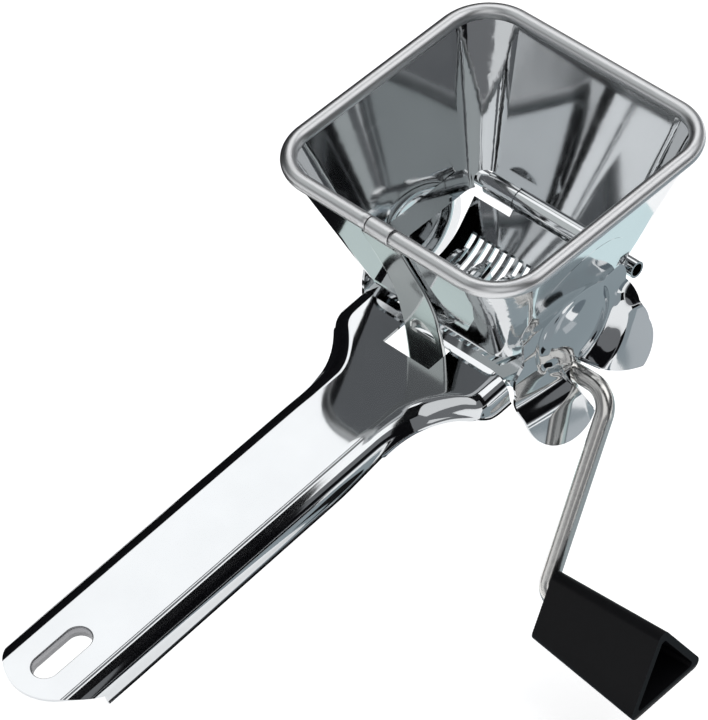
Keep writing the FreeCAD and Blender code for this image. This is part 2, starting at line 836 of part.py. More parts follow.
def make_catch(place, normal):
    """Pressed dome of the strap: a solid cap, and the smaller ball that hollows it."""
    radius = size("catch_radius")
    bulge = size("catch_bulge")
    ball = (radius ** 2 + bulge ** 2) / (2 * bulge)
    cap = doc.addObject("Part::Sphere", "catch_cap")
    cap.Radius = ball
    cap.Angle1 = math.degrees(math.asin((ball - bulge) / ball))
    hollow = doc.addObject("Part::Sphere", "catch_hollow")
    hollow.Radius = ball - T
    spin = FreeCAD.Rotation(vector(0, 0, 1), normal)
    for item in (cap, hollow):
        item.Placement = FreeCAD.Placement(place - normal * (ball - bulge), spin)
    return cap, hollow


def make_strap():
    body = new_body("strap")
    root = vector(RIM_Y - RIM_HALF - size("strap_root_out"), RIM_Z - size("strap_root_drop"))
    knee = vector(-size("strap_knee"), size("strap_knee_rise"))
    foot = vector(-size("strap_foot"), -size("strap_drop"))
    profile = new_sketch(body, "YZ_Plane", "strap_profile")
    draw(profile, bent_strip([root, knee, foot], size("strap_bend")))
    add_pad(body, profile, "sizes.strap_width", symmetric=True)
    roll = new_sketch(body, "YZ_Plane", "strap_roll")
    add_circle(roll, root, "sizes.strap_roll", size("strap_roll"))
    add_pad(body, roll, "sizes.strap_width", symmetric=True)
    trim = new_sketch(body, "XZ_Plane", "strap_trim")
    half = size("strap_width") / 2 + T
    low = foot.y
    high = low + size("strap_tip")
    below = low - 2 * T
    sides = [line(vector(half, high), vector(half, below)), line(vector(half, below), vector(-half, below))]
    sides.append(line(vector(-half, below), vector(-half, high)))
    draw(trim, [arc(vector(-half, high), vector(0, low + T), vector(half, high))] + sides)
    add_through(body, trim)
    run = (foot - knee).normalize()
    level = (size("catch_drop") + knee.y) / -run.y
    spot = knee + run * level
    normal = vector(0, run.y, -run.x)
    cap, hollow = make_catch(vector(0, spot.x, spot.y) + normal * T, normal)
    domed = combine("Part::Fuse", body, cap, "strap_domed")
    return named(combine("Part::Cut", domed, hollow, "strap_pressed"), "latch_strap")


make_strap()


# Handle channel


def mirror_curve(curve):
    """The same line or arc on the other side of the middle plane, run the other way."""
    middle = curve.value((curve.FirstParameter + curve.LastParameter) / 2)
    points = [vector(-point.x, point.y) for point in (curve.EndPoint, middle, curve.StartPoint)]
    if isinstance(curve, Part.LineSegment):
        return line(points[0], points[2])
    return arc(*points)


def handle_curves(inset, front, end):
    """Plan of the handle: straight horns, rounded shoulders, a waisted neck and a parallel grip."""
    grip = size("grip_half")
    straight = -size("horn_straight")
    neck_end = -size("neck_length")
    shoulder = size("horn_round")
    shoulder_centre = vector(size("horn_half") - shoulder, straight)
    drop = straight - neck_end
    offset = grip - shoulder_centre.x
    waist = (drop ** 2 + offset ** 2 - shoulder ** 2) / (2 * (shoulder - offset))
    waist_centre = vector(grip + waist, neck_end)
    across = (waist_centre - shoulder_centre).normalize()
    touch = shoulder_centre + across * (shoulder - inset)
    slant = math.degrees(math.atan2(across.y, across.x))
    shoulder_middle = shoulder_centre + turned(slant / 2) * (shoulder - inset)
    waist_middle = waist_centre + turned(180 + slant / 2) * (waist + inset)
    horn_top = vector(size("horn_half") - inset, front)
    horn_low = vector(size("horn_half") - inset, straight)
    neck_point = vector(grip - inset, neck_end)
    grip_point = vector(grip - inset, -end)
    right = [line(horn_top, horn_low), arc(horn_low, shoulder_middle, touch)]
    right += [arc(touch, waist_middle, neck_point), line(neck_point, grip_point)]
    left = [mirror_curve(curve) for curve in right[::-1]]
    tip = line(grip_point, vector(-grip_point.x, grip_point.y))
    return right + [tip] + left + [line(vector(-horn_top.x, front), horn_top)]


def side_edges(shape, height):
    """Names of the long edges at the given height, leaving out the two ends."""
    found = []
    for index, edge in enumerate(shape.Edges, start=1):
        level = all(abs(vertex.Point.z - height) < T / 10 for vertex in edge.Vertexes)
        both = len(edge.Vertexes) == 2 and edge.Vertexes[0].Point.x * edge.Vertexes[1].Point.x > 0
        if level and both:
            found.append(f"Edge{index}")
    return found


def handle_block(name, curves, top, length, bend_formula):
    body = new_body(name)
    sketch = new_sketch(body, "XY_Plane", name + "_plan", top)
    draw(sketch, curves)
    pad = add_pad(body, sketch, length, backward=True)
    doc.recompute()
    height = max(vertex.Point.z for vertex in pad.Shape.Vertexes)
    fillet = body.newObject("PartDesign::Fillet", name + "_bend")
    fillet.Base = (pad, side_edges(pad.Shape, height))
    bind(fillet, "Radius", bend_formula)
    return body


def make_end_trim():
    """Everything beyond the round end of the grip."""
    body = new_body("end_trim")
    sketch = new_sketch(body, "XY_Plane", "end_round")
    half = size("end_round")
    far = -size("handle_length")
    start = far + half
    wide = half + 2 * size("handle_bend")
    sides = [vector(half, start), vector(wide, start), vector(wide, far - half)]
    sides += [vector(-wide, far - half), vector(-wide, start), vector(-half, start)]
    curves = [line(one, other) for one, other in zip(sides, sides[1:])]
    draw(sketch, curves + [arc(sides[-1], vector(0, far), sides[0])])
    add_pad(body, sketch, "4 * sizes.handle_depth", symmetric=True)
    return body


def make_edge_trim():
    """Everything below the lower edge of the flanges, which rises at the neck."""
    body = new_body("edge_trim")
    sketch = new_sketch(body, "YZ_Plane", "lower_edge")
    deep = -2 * size("handle_depth")
    beyond = -size("handle_length") - size("end_round")
    lip = vector(-size("horn_straight"), -size("handle_depth"))
    near = vector(-size("neck_near"), -size("neck_depth"))
    far = vector(-size("neck_far"), -size("neck_depth"))
    grip = vector(-size("neck_length") - size("end_round"), -size("grip_depth"))
    end = vector(beyond, -size("end_depth"))
    corners = [vector(lip.x, deep), lip, near, far, grip, end, vector(beyond, deep)]
    bend = size("neck_depth") / 2
    draw(sketch, rounded_loop(corners, [0, 0, bend, 2 * bend, 2 * bend, 0, 0]))
    add_pad(body, sketch, "4 * sizes.horn_half", symmetric=True)
    return body


def hang_outline(grow):
    half = size("hang_width") / 2 + grow
    far = -size("handle_length") + size("hang_inset") - grow
    near = far + size("hang_length") + 2 * grow
    low = vector(0, far + half)
    high = vector(0, near - half)
    side = vector(half, 0)
    round_low = arc(low - side, vector(0, far), low + side)
    round_high = arc(high + side, vector(0, near), high - side)
    return [round_low, line(low + side, high + side), round_high, line(high - side, low - side)]


def make_handle():
    end = size("handle_length")
    outside = handle_block("handle_outside", handle_curves(0, 0, end), "0", "sizes.handle_depth",
                           "sizes.handle_bend")
    inside = handle_block("handle_inside", handle_curves(T, 2 * T, 2 * end), "-sizes.sheet",
                          "sizes.handle_depth", "sizes.handle_bend - sizes.sheet")
    channel = combine("Part::Cut", outside, inside, "handle_sheet")
    rounded = combine("Part::Cut", channel, make_end_trim(), "handle_rounded")
    edged = combine("Part::Cut", rounded, make_edge_trim(), "handle_edged")
    collar = new_body("hang_collar")
    ring = new_sketch(collar, "XY_Plane", "collar_plan")
    draw(ring, hang_outline(T))
    add_pad(collar, ring, "sizes.hang_collar", backward=True)
    collared = combine("Part::Fuse", edged, collar, "handle_collared")
    openings = new_body("handle_openings")
    window = new_sketch(openings, "XY_Plane", "window")
    half = size("window_half")
    near = -size("window_near")
    far = -size("window_far")
    corners = [vector(-half, far), vector(half, far), vector(half, near), vector(-half, near)]
    draw(window, rounded_loop(corners, [size("window_corner")] * 4))
    add_pad(openings, window, "2 * sizes.handle_depth", symmetric=True)
    hang = new_sketch(openings, "XY_Plane", "hang_slot")
    draw(hang, hang_outline(0))
    add_pad(openings, hang, "2 * sizes.handle_depth", symmetric=True)
    handle = combine("Part::Cut", collared, openings, "handle_cut")
    tilt = FreeCAD.Rotation(vector(1, 0, 0), size("droop"))
    handle.Placement = FreeCAD.Placement(vector(0, -size("handle_ahead"), -size("handle_drop")), tilt)
    return named(handle, "handle_channel")


make_handle()

doc.recompute()

faults = []
for item in doc.Objects:
    if "Invalid" in item.State or "Error" in item.State:
        faults.append(f"{item.Label}: {item.State}")
for item in nodes:
    if item.Shape.isNull() or not item.Shape.isValid():
        faults.append(f"{item.Label}: no valid shape")
if faults:
    raise RuntimeError("; ".join(faults))

os.makedirs("parts", exist_ok=True)
for item in nodes:
    item.Shape.exportStep(f"parts/{item.Label}.step")
    print(item.Label, round(item.Shape.Volume, 1), len(item.Shape.Solids))
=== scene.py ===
# %% [markdown]
# # A rotary herb mill in polished steel
# The mill is folded from mirror-bright sheet: a square hopper, a slotted comb, a channel handle and a
# bent crank with a black three-sided knob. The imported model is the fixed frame, and nothing in it moves.
# Its solids get finishes here. The end cheeks, the handle, the rim and the spring strap are pressed sheet,
# so they are made again as thin, soft-edged sheet in the same places and take over from their solids.

# %% Load the frame
import json
import math

import bmesh
import bpy
from mathutils import Matrix, Vector


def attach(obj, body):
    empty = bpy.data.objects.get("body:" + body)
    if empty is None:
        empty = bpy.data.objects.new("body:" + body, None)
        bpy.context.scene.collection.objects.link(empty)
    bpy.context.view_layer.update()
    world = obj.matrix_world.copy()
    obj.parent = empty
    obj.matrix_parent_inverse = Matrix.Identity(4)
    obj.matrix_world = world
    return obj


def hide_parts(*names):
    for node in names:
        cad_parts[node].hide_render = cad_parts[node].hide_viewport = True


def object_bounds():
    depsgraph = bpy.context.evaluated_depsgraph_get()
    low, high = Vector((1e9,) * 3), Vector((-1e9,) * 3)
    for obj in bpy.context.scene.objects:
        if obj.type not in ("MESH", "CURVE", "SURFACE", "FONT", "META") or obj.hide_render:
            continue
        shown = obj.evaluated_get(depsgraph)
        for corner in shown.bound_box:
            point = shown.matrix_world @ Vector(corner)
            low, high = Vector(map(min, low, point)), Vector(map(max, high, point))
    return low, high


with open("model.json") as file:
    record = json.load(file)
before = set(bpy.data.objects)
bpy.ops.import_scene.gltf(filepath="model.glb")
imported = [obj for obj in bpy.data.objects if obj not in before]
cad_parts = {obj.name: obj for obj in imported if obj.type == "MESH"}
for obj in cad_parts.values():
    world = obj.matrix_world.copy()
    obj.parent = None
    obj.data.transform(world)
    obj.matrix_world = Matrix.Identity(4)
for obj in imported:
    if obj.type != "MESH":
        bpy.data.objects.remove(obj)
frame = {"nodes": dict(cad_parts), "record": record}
nodes = frame["nodes"]
cad_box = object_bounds()
scene = bpy.context.scene
scene.view_settings.view_transform = "Standard"
print("nodes:", len(nodes), "lowest point:", round(cad_box[0][2], 4))

# %% [markdown]
# ## Camera
# The picture is taken with a long lens from above, in front and to the crank side, so lines that are
# parallel on the tool stay nearly parallel. The angles could be found by trial. Here the four corners of
# the square rim gave them, because a known square fixes a view. A small roll is kept, as the tool was not
# held quite upright.

# %% Camera
VIEW_AZIMUTH = math.radians(-42.4)
VIEW_ELEVATION = math.radians(45.33)
VIEW_ROLL = math.radians(5.43)
VIEW_DISTANCE = 1.1927
VIEW_TARGET = Vector((0.00324, -0.07706, 0.0108))
LENS = 240
SENSOR = 36

toward_camera = Vector((math.cos(VIEW_ELEVATION) * math.cos(VIEW_AZIMUTH),
                        math.cos(VIEW_ELEVATION) * math.sin(VIEW_AZIMUTH),
                        math.sin(VIEW_ELEVATION)))


def facing(direction):
    return direction.to_track_quat("Z", "Y").to_matrix().to_4x4()


def make_camera():
    data = bpy.data.cameras.new("photo_camera")
    data.sensor_fit = "VERTICAL"
    data.sensor_height = SENSOR
    data.lens = LENS
    camera = bpy.data.objects.new("photo_camera", data)
    scene.collection.objects.link(camera)
    place = Matrix.Translation(VIEW_TARGET + toward_camera * VIEW_DISTANCE)
    turn = facing(toward_camera) @ Matrix.Rotation(-VIEW_ROLL, 4, "Z")
    camera.matrix_world = place @ turn
    scene.camera = camera
    return camera


camera = make_camera()
print("camera at", [round(part, 3) for part in camera.matrix_world.translation])

# %% [markdown]
# ## Floor
# The tool is held over a pale sweep of paper. The paper has to look white to the camera and in the steel,
# yet still hold a soft shadow. More light would whiten it, but it would burn out the steel as well. So its
# plain diffuse colour stays, and a glow is added that only camera, glossy and transmission rays can see.
# It lies a little under the tool, so that the crank and the knob can turn all the way round above it.

# %% Floor
TOOL_FOOT = cad_box[0][2]
KNOB_ROOM = 0.02
FLOOR_LEVEL = TOOL_FOOT - KNOB_ROOM
FLOOR_SPAN = (-6, 6)
PAPER_COLOUR = (0.86, 0.86, 0.86, 1)
PAPER_GLOW = 0.7


def flat_card(name, corners):
    mesh = bpy.data.meshes.new(name)
    mesh.from_pydata(corners, [], [range(len(corners))])
    card = bpy.data.objects.new(name, mesh)
    scene.collection.objects.link(card)
    return card


def level_rectangle(x_span, y_span, z):
    (x0, x1), (y0, y1) = x_span, y_span
    return [(x0, y0, z), (x1, y0, z), (x1, y1, z), (x0, y1, z)]


def math_step(tree, operation, one, other=None):
    step = tree.nodes.new("ShaderNodeMath")
    step.operation = operation
    tree.links.new(one, step.inputs[0])
    if other is not None:
        tree.links.new(other, step.inputs[1])
    return step


def paper_material():
    material = bpy.data.materials.new("pale_paper")
    material.use_nodes = True
    tree = material.node_tree
    tree.nodes.clear()
    output = tree.nodes.new("ShaderNodeOutputMaterial")
    paper = tree.nodes.new("ShaderNodeBsdfDiffuse")
    paper.inputs["Color"].default_value = PAPER_COLOUR
    rays = tree.nodes.new("ShaderNodeLightPath")
    seen = math_step(tree, "MAXIMUM", rays.outputs["Is Camera Ray"], rays.outputs["Is Glossy Ray"])
    seen = math_step(tree, "MAXIMUM", seen.outputs[0], rays.outputs["Is Transmission Ray"])
    strength = math_step(tree, "MULTIPLY", seen.outputs[0])
    strength.inputs[1].default_value = PAPER_GLOW
    glow = tree.nodes.new("ShaderNodeEmission")
    tree.links.new(strength.outputs[0], glow.inputs["Strength"])
    both = tree.nodes.new("ShaderNodeAddShader")
    tree.links.new(paper.outputs[0], both.inputs[0])
    tree.links.new(glow.outputs[0], both.inputs[1])
    tree.links.new(both.outputs[0], output.inputs["Surface"])
    return material


floor = flat_card("floor", level_rectangle(FLOOR_SPAN, FLOOR_SPAN, FLOOR_LEVEL))
floor.data.materials.append(paper_material())
print("floor at", round(FLOOR_LEVEL, 4))

# %% [markdown]
# ## Lamps
# Polished steel has no colour of its own to show: it shows the room. A panorama picture could light it, but
# then nothing could be put just where a face needs it. So the room is a plain grey, and lamps hang as in a
# product studio, where the flat faces will mirror them: two broad soft lights and a thin strip above the
# far side, and a weak fill behind the camera.

# %% Lamps
CEILING = 1.0
ROOM_GREY = (0.2, 0.205, 0.215, 1)
SOFT_LIGHT = 1.26
FRONT_LIGHT = 0.7
FILL_DISTANCE, FILL_SIZE = 1.7, 1.5


def grey_room():
    world = bpy.data.worlds.new("grey_room")
    world.use_nodes = True
    world.node_tree.nodes["Background"].inputs["Color"].default_value = ROOM_GREY
    scene.world = world


def add_lamp(name):
    data = bpy.data.lights.new(name, "AREA")
    lamp = bpy.data.objects.new(name, data)
    scene.collection.objects.link(lamp)
    return lamp, data


def ceiling_light(name, x_span, y_span):
    lamp, data = add_lamp(name)
    data.shape = "RECTANGLE"
    data.size = x_span[1] - x_span[0]
    data.size_y = y_span[1] - y_span[0]
    data.energy = SOFT_LIGHT * math.pi * data.size * data.size_y
    lamp.location = (sum(x_span) / 2, sum(y_span) / 2, CEILING)


def fill_light(name, place):
    lamp, data = add_lamp(name)
    data.size = FILL_SIZE
    data.energy = FRONT_LIGHT * math.pi * FILL_SIZE * FILL_SIZE
    lamp.matrix_world = Matrix.Translation(place) @ facing(place - VIEW_TARGET)


grey_room()
ceiling_light("broad_soft_light", (-0.95, -0.22), (0.0, 1.5))
ceiling_light("thin_strip_light", (-0.13, -0.05), (0.0, 1.5))
fill_light("front_fill", VIEW_TARGET + toward_camera * FILL_DISTANCE)
ceiling_light("right_soft_light", (0.12, 1.2), (-0.1, 1.1))
print("lamps:", len(bpy.data.lights))

# %% [markdown]
# ## Boards around the tool
# A photographer sets black boards where an edge of the steel should turn dark, and pale cards where a fold
# should lift. Dark paint on the steel would fake that from one side only. So both are real cards here,
# which only reflections see: they shape the steel and throw no light or shadow. A folded flag hangs over
# the crank side, screens stand where the petals look, and a dark wall closes the left side.

# %% Boards around the tool
BOARD_CLOTH = (0.012, 0.012, 0.014, 1)
CARD_LIFT = 0.001
FLAG_FOLD = [(0.09, 0.335), (0.16, 0.31), (0.3, 0.2), (0.38, 0.0)]
FLAG_NEAR = [-0.12, -0.12, -0.05]
FLAG_FAR = 0.035
SCREEN_FOLD = [(0.28, 0.42), (0.46, 0.24), (0.56, 0.06)]
SCREEN_HEIGHTS = (0.02, 0.16)
FRONT_GLOW = (0.85, 0.86, 0.87)


def hang_board(name, corners, glow=None):
    board = flat_card(name, corners)
    material = bpy.data.materials.new(name + "_cloth")
    material.use_nodes = True
    cloth = material.node_tree.nodes["Principled BSDF"]
    cloth.inputs["Base Color"].default_value = BOARD_CLOTH
    cloth.inputs["Roughness"].default_value = 1.0
    cloth.inputs["Specular IOR Level"].default_value = 0.0
    if glow:
        cloth.inputs["Emission Color"].default_value = (*glow, 1)
        cloth.inputs["Emission Strength"].default_value = 1.0
    board.data.materials.append(material)
    board.visible_camera = False
    board.visible_diffuse = False
    board.visible_shadow = False
    board.visible_transmission = False


def standing(start, end, z_span):
    (x0, y0), (x1, y1), (z0, z1) = start, end, z_span
    return [(x0, y0, z0), (x1, y1, z0), (x1, y1, z1), (x0, y0, z1)]


def hang_flag():
    for number, near in enumerate(FLAG_NEAR):
        (x0, z0), (x1, z1) = FLAG_FOLD[number:number + 2]
        hang_board(f"near_flag_{number}",
                   [(x0, near, z0), (x1, near, z1), (x1, FLAG_FAR, z1), (x0, FLAG_FAR, z0)])


hang_flag()
hang_board("petal_board", standing((0.3, -0.08), (0.3, 0.03), (TOOL_FOOT, -0.02)))
hang_board("front_petal_board", standing(*SCREEN_FOLD[:2], SCREEN_HEIGHTS))
hang_board("side_petal_board", standing(*SCREEN_FOLD[1:], SCREEN_HEIGHTS))
hang_board("front_card", standing((-1.7, -1.3), (0.9, -1.3), (-0.07, 0.42)), FRONT_GLOW)
hang_board("left_ceiling_board", level_rectangle((-1.7, -0.97), (0.0, 1.5), CEILING))
hang_board("left_board", standing((-0.9, -0.3), (-0.9, 1.2), (TOOL_FOOT, 0.8)))
hang_board("left_floor_board", level_rectangle((-0.9, -0.13), (-0.3, 1.2), TOOL_FOOT + CARD_LIFT))
print("boards so far:", sum(item.name.endswith("_cloth") for item in bpy.data.materials))

# %% [markdown]
# ## Cards under the tool
# The lower faces of the hopper and the petals look at the floor, and white paper alone would leave them
# blank. Sheets of tinted card are laid side by side there, as a photographer lays scraps of card: each has
# its place, its lift above the others and the tint that one fold should mirror. The grey-blue cards to the
# crank side are painted shadow. They stand for the tool's own shadow on the floor, which the glowing paper
# shows only faintly, as the steel mirrors it. Two stay black.

# %% Cards under the tool
FLOOR_CARDS = [
    ("pale_card", (-0.02, 0.034), (-0.03, 0.06), 1, (0.76, 0.93, 0.96)),
    # near, side and far cards: painted shadow of the tool on the floor, as the steel mirrors it
    ("near_shadow_card", (0.034, 0.14), (-0.075, 0.35), 1, (0.34, 0.40, 0.43)),
    ("side_shadow_card", (0.14, 0.3), (-0.075, 0.03), 1, (0.34, 0.39, 0.42)),
    ("petal_card", (0.112, 0.142), (0.006, 0.03), 2, (0.58, 0.62, 0.65)),
    ("far_shadow_card", (0.14, 0.32), (0.05, 0.35), 1, (0.18, 0.22, 0.25)),
    ("wall_card", (-0.081, -0.02), (-0.075, -0.03), 1, (0.6, 0.7, 0.69)),
    ("corner_board", (-0.13, -0.081), (-0.075, 0.0), 1, None),
    ("foot_board", (-0.1, -0.005), (-0.14, -0.075), 1, None),
]
STRAP_GLOW = (0.66, 0.69, 0.69)

for card_name, card_x, card_y, lifts, tint in FLOOR_CARDS:
    hang_board(card_name, level_rectangle(card_x, card_y, TOOL_FOOT + lifts * CARD_LIFT), tint)
hang_board("strap_card", level_rectangle((-1.3, -0.3), (-1.2, -0.02), CEILING), STRAP_GLOW)
print("cards on the floor:", len(FLOOR_CARDS))

# %% [markdown]
# ## Polished sheet
# The sheet is cold rolled and polished. It is never quite flat, so its reflections bend a little, and
# wiping leaves it a shade brighter in one place than in another. A picture of scratches could be laid on
# it, but that needs unwrapping and blurs up close. Noise needs neither: a slow one drives a bump, a finer
# one varies the roughness like wiping marks, and a third mixes two tints of the same grey. The rolled rim
# is the same steel with a duller skin.

# %% Polished sheet
TINT_PATCHES, TINT_CONTRAST, TINT_DETAIL = 55, 0.06, 4.0
WIPE_MARKS, WIPE_DETAIL = 140, 5.0


def add_noise(tree, scale, detail=3.0, stretch=(1, 1, 1)):
    place = tree.nodes.new("ShaderNodeTexCoord")
    mapping = tree.nodes.new("ShaderNodeMapping")
    mapping.inputs["Scale"].default_value = stretch
    noise = tree.nodes.new("ShaderNodeTexNoise")
    noise.inputs["Scale"].default_value = scale
    noise.inputs["Detail"].default_value = detail
    tree.links.new(place.outputs["Object"], mapping.inputs["Vector"])
    tree.links.new(mapping.outputs["Vector"], noise.inputs["Vector"])
    return noise.outputs["Fac"]


def finish_material(name, colour, metallic, patches=TINT_PATCHES, contrast=TINT_CONTRAST):
    material = bpy.data.materials.new(name)
    material.use_nodes = True
    tree = material.node_tree
    shader = tree.nodes["Principled BSDF"]
    shader.inputs["Metallic"].default_value = metallic
    tint = tree.nodes.new("ShaderNodeMix")
    tint.data_type = "RGBA"
    tint.inputs["A"].default_value = (*[part * (1 - contrast) for part in colour], 1)
    tint.inputs["B"].default_value = (*[part * (1 + contrast) for part in colour], 1)
    tree.links.new(add_noise(tree, patches, TINT_DETAIL), tint.inputs["Factor"])
    tree.links.new(tint.outputs["Result"], shader.inputs["Base Color"])
    return material, tree, shader


def vary_roughness(tree, shader, signal, roughness):
    spread = tree.nodes.new("ShaderNodeMapRange")
    spread.inputs["To Min"].default_value = roughness[0]
    spread.inputs["To Max"].default_value = roughness[1]
    tree.links.new(signal, spread.inputs["Value"])
    tree.links.new(spread.outputs["Result"], shader.inputs["Roughness"])


def add_bump(tree, shader, signal, height, strength=1.0):
    bump = tree.nodes.new("ShaderNodeBump")
    bump.inputs["Strength"].default_value = strength
    bump.inputs["Distance"].default_value = height
    tree.links.new(signal, bump.inputs["Height"])
    tree.links.new(bump.outputs["Normal"], shader.inputs["Normal"])


def polished_sheet(name, colour, roughness, wave, height):
    material, tree, shader = finish_material(name, colour, 1.0)
    vary_roughness(tree, shader, add_noise(tree, WIPE_MARKS, WIPE_DETAIL), roughness)
    add_bump(tree, shader, add_noise(tree, wave, 1.0), height)
    return material


FINISHES = {
    "polished_steel": polished_sheet("mirror_sheet_steel", (0.62, 0.635, 0.645),
                                     roughness=(0.03, 0.09), wave=38, height=0.00006),
    "rim_steel": polished_sheet("rolled_rim_steel", (0.66, 0.665, 0.67),
                                roughness=(0.28, 0.4), wave=60, height=0.00002),
}
print("sheet finishes:", sorted(FINISHES))

# %% [markdown]
# ## Rod and knob
# The crank is bent from drawn wire. Drawing leaves a satin skin with fine lines, so its noise is stretched
# along the shaft. The knob is moulded in black plastic, which comes out of the tool with a fine grain: a
# tight noise gives that, with a low gloss. Both come from the helpers above, so that all finishes behave
# alike under another light.

# %% Rod and knob
ROD_LINES, ROD_STRETCH, ROD_BUMP = 900, (0.05, 1, 1), 0.000006
KNOB_BLACK, KNOB_GLOSS = (0.004, 0.004, 0.005), 0.12
KNOB_PATCHES, KNOB_CONTRAST = 300, 0.2
KNOB_GRAIN, KNOB_BUMP, KNOB_BUMP_SHARE = 1800, 0.00002, 0.4


def drawn_rod(name, colour, roughness):
    material, tree, shader = finish_material(name, colour, 1.0)
    lines = add_noise(tree, ROD_LINES, stretch=ROD_STRETCH)
    vary_roughness(tree, shader, lines, roughness)
    add_bump(tree, shader, lines, ROD_BUMP)
    return material


def moulded_black(name, roughness):
    material, tree, shader = finish_material(name, KNOB_BLACK, 0.0, KNOB_PATCHES, KNOB_CONTRAST)
    shader.inputs["Specular IOR Level"].default_value = KNOB_GLOSS
    grain = add_noise(tree, KNOB_GRAIN, 2.0)
    vary_roughness(tree, shader, grain, roughness)
    add_bump(tree, shader, grain, KNOB_BUMP, KNOB_BUMP_SHARE)
    return material


FINISHES["rod_steel"] = drawn_rod("drawn_rod_steel", (0.72, 0.705, 0.68), roughness=(0.15, 0.27))
FINISHES["black_plastic"] = moulded_black("knob_black_plastic", roughness=(0.4, 0.54))
for entry in frame["record"]["subparts"]:
    shape = nodes[entry["node"]].data
    shape.materials.clear()
    shape.materials.append(FINISHES[entry["material_slot"]])
print("finishes:", sorted(FINISHES))

# %% [markdown]
# ## Pressed end cheeks
# Each end of the hopper carries a cheek, pressed from one sheet: a round dish below the sloping end wall,
# a groove about it, a step, and two petals that flare out around the shaft. It could be joined from cut
# balls and cones, but a mirror finish shows every break in such a form. So one smooth curve gives the rise
# from the middle of the dish out to the petals: drawn from simple pieces first, then averaged twice.

# %% Cheek profile
MM = 0.001
SHEET = 0.8
DISH_MIDDLE = Vector((-23.0, -3.0))
DISH_RADIUS, DISH_BULGE = 12.6, 2.4
GROOVE_AT, GROOVE_DEPTH, GROOVE_WIDTH = 13.4, 0.55, 0.8
RIDGE_AT, RIDGE_HEIGHT, RIDGE_WIDTH = 10.6, 0.2, 0.7
STEP_START, STEP_END, STEP_RISE = 14.2, 18.4, 3.6
PETAL_SLOPE = 0.3
PROFILE_STEP, PROFILE_COUNT, MIRRORED_COUNT = 0.1, 520, 100
DISH_SOFTNESS, PETAL_SOFTNESS = 4, 9


def bell(distance, width):
    return math.exp(-(distance / width) ** 2)


def dish_rise(radius):
    ball = (DISH_RADIUS ** 2 + DISH_BULGE ** 2) / (2 * DISH_BULGE)
    cap = DISH_BULGE - ball + math.sqrt(ball ** 2 - radius ** 2) if radius < DISH_RADIUS else 0.0
    groove = GROOVE_DEPTH * bell(radius - GROOVE_AT, GROOVE_WIDTH)
    ridge = RIDGE_HEIGHT * bell(radius - RIDGE_AT, RIDGE_WIDTH)
    return cap - groove + ridge


def petal_rise(radius):
    step = min(max((radius - STEP_START) / (STEP_END - STEP_START), 0.0), 1.0)
    return STEP_RISE * step + PETAL_SLOPE * max(radius - STEP_END, 0.0)


def soften(values, reach):
    spans = [values[max(0, index - reach):index + reach + 1] for index in range(len(values))]
    return [sum(span) / len(span) for span in spans]


def profile_table(rise, reach):
    raw = [rise(abs(index) * PROFILE_STEP) for index in range(-MIRRORED_COUNT, PROFILE_COUNT)]
    return soften(soften(raw, reach), reach)[MIRRORED_COUNT:]


def table_at(table, radius):
    place = radius / PROFILE_STEP
    low = int(place)
    share = place - low
    return table[low] * (1 - share) + table[low + 1] * share


dish_table = profile_table(dish_rise, DISH_SOFTNESS)
petal_table = profile_table(petal_rise, PETAL_SOFTNESS)
print("rise in the dish's middle:", round(dish_table[0], 2))
print("rise at a petal's edge:", round(table_at(petal_table, 30), 2))

# %% [markdown]
# The outline is the joint edge of a few discs and a skirt, with a path left open for the shaft: the
# hopper swings up about the hinge, and the shaft has to leave the cheek on that arc. A cutter could open
# the path later, but it would leave a rough edge in the mesh. Walking out along each ray until the sheet
# ends gives the edge itself, and the rings between are spread evenly.

# %% Cheek outline
FAN_MIDDLE = Vector((-34.0, -1.0))
COVER_MIDDLE = Vector((-25.5, 12.0))
SHAFT = Vector((-23.5, -19.2))
SWING_REACH = SHAFT.length
NOTCH_HALF = 3.3
CHEEK_DISCS = [((0, 0), 18.2), ((-6.5, -31.6), 12.8), ((-8.0, -22.0), 11.2), ((-8.2, -28.4), 11.4)]
BACK_DISCS = [((13.3, -29.0), 11.5), ((12.9, -25.5), 11.4), ((12.3, -22.0), 10.9),
              ((16.5, -16.5), 6.6), ((16.0, -10.5), 6.0)]
SKIRT_HALF, SKIRT_FOOT, SKIRT_TOP = 16.7, -31.2, 1.0
FIRST_REACH, REACH_STEP = 0.5, 0.02
RAYS = 480


def on_discs(spot, discs):
    return any((spot - Vector(centre)).length < radius for centre, radius in discs)


def on_cheek(real):
    spot = real - COVER_MIDDLE
    behind = real.length < SWING_REACH - NOTCH_HALF
    on_arc = real.y < 0 and abs(real.length - SWING_REACH) < NOTCH_HALF and real.x > SHAFT.x
    if on_arc or (real - SHAFT).length < NOTCH_HALF:
        return False
    if on_discs(spot, CHEEK_DISCS) or (behind and on_discs(spot, BACK_DISCS)):
        return True
    on_skirt = abs(spot.x) < SKIRT_HALF and SKIRT_FOOT < spot.y < SKIRT_TOP
    return on_skirt and (behind or real.x < SHAFT.x)


def edge_reach(angle):
    ray = Vector((math.cos(angle), math.sin(angle)))
    reach = FIRST_REACH
    while on_cheek(FAN_MIDDLE + ray * (reach + REACH_STEP)):
        reach += REACH_STEP
    return reach


ray_angles = [2 * math.pi * index / RAYS for index in range(RAYS)]
reaches = [edge_reach(angle) for angle in ray_angles]
print("shortest and longest reach:", round(min(reaches), 1), round(max(reaches), 1))

# %% [markdown]
# The pressed surface says how far out each spot of the cheek stands. The step and the flare only belong to
# the lower half, so they fade in below the dish. The front petal is spread wider than the back one and
# turned in a little. A small dimple near the shaft is raised, and where the end wall stands further out,
# the surface eases onto it instead of crossing it.

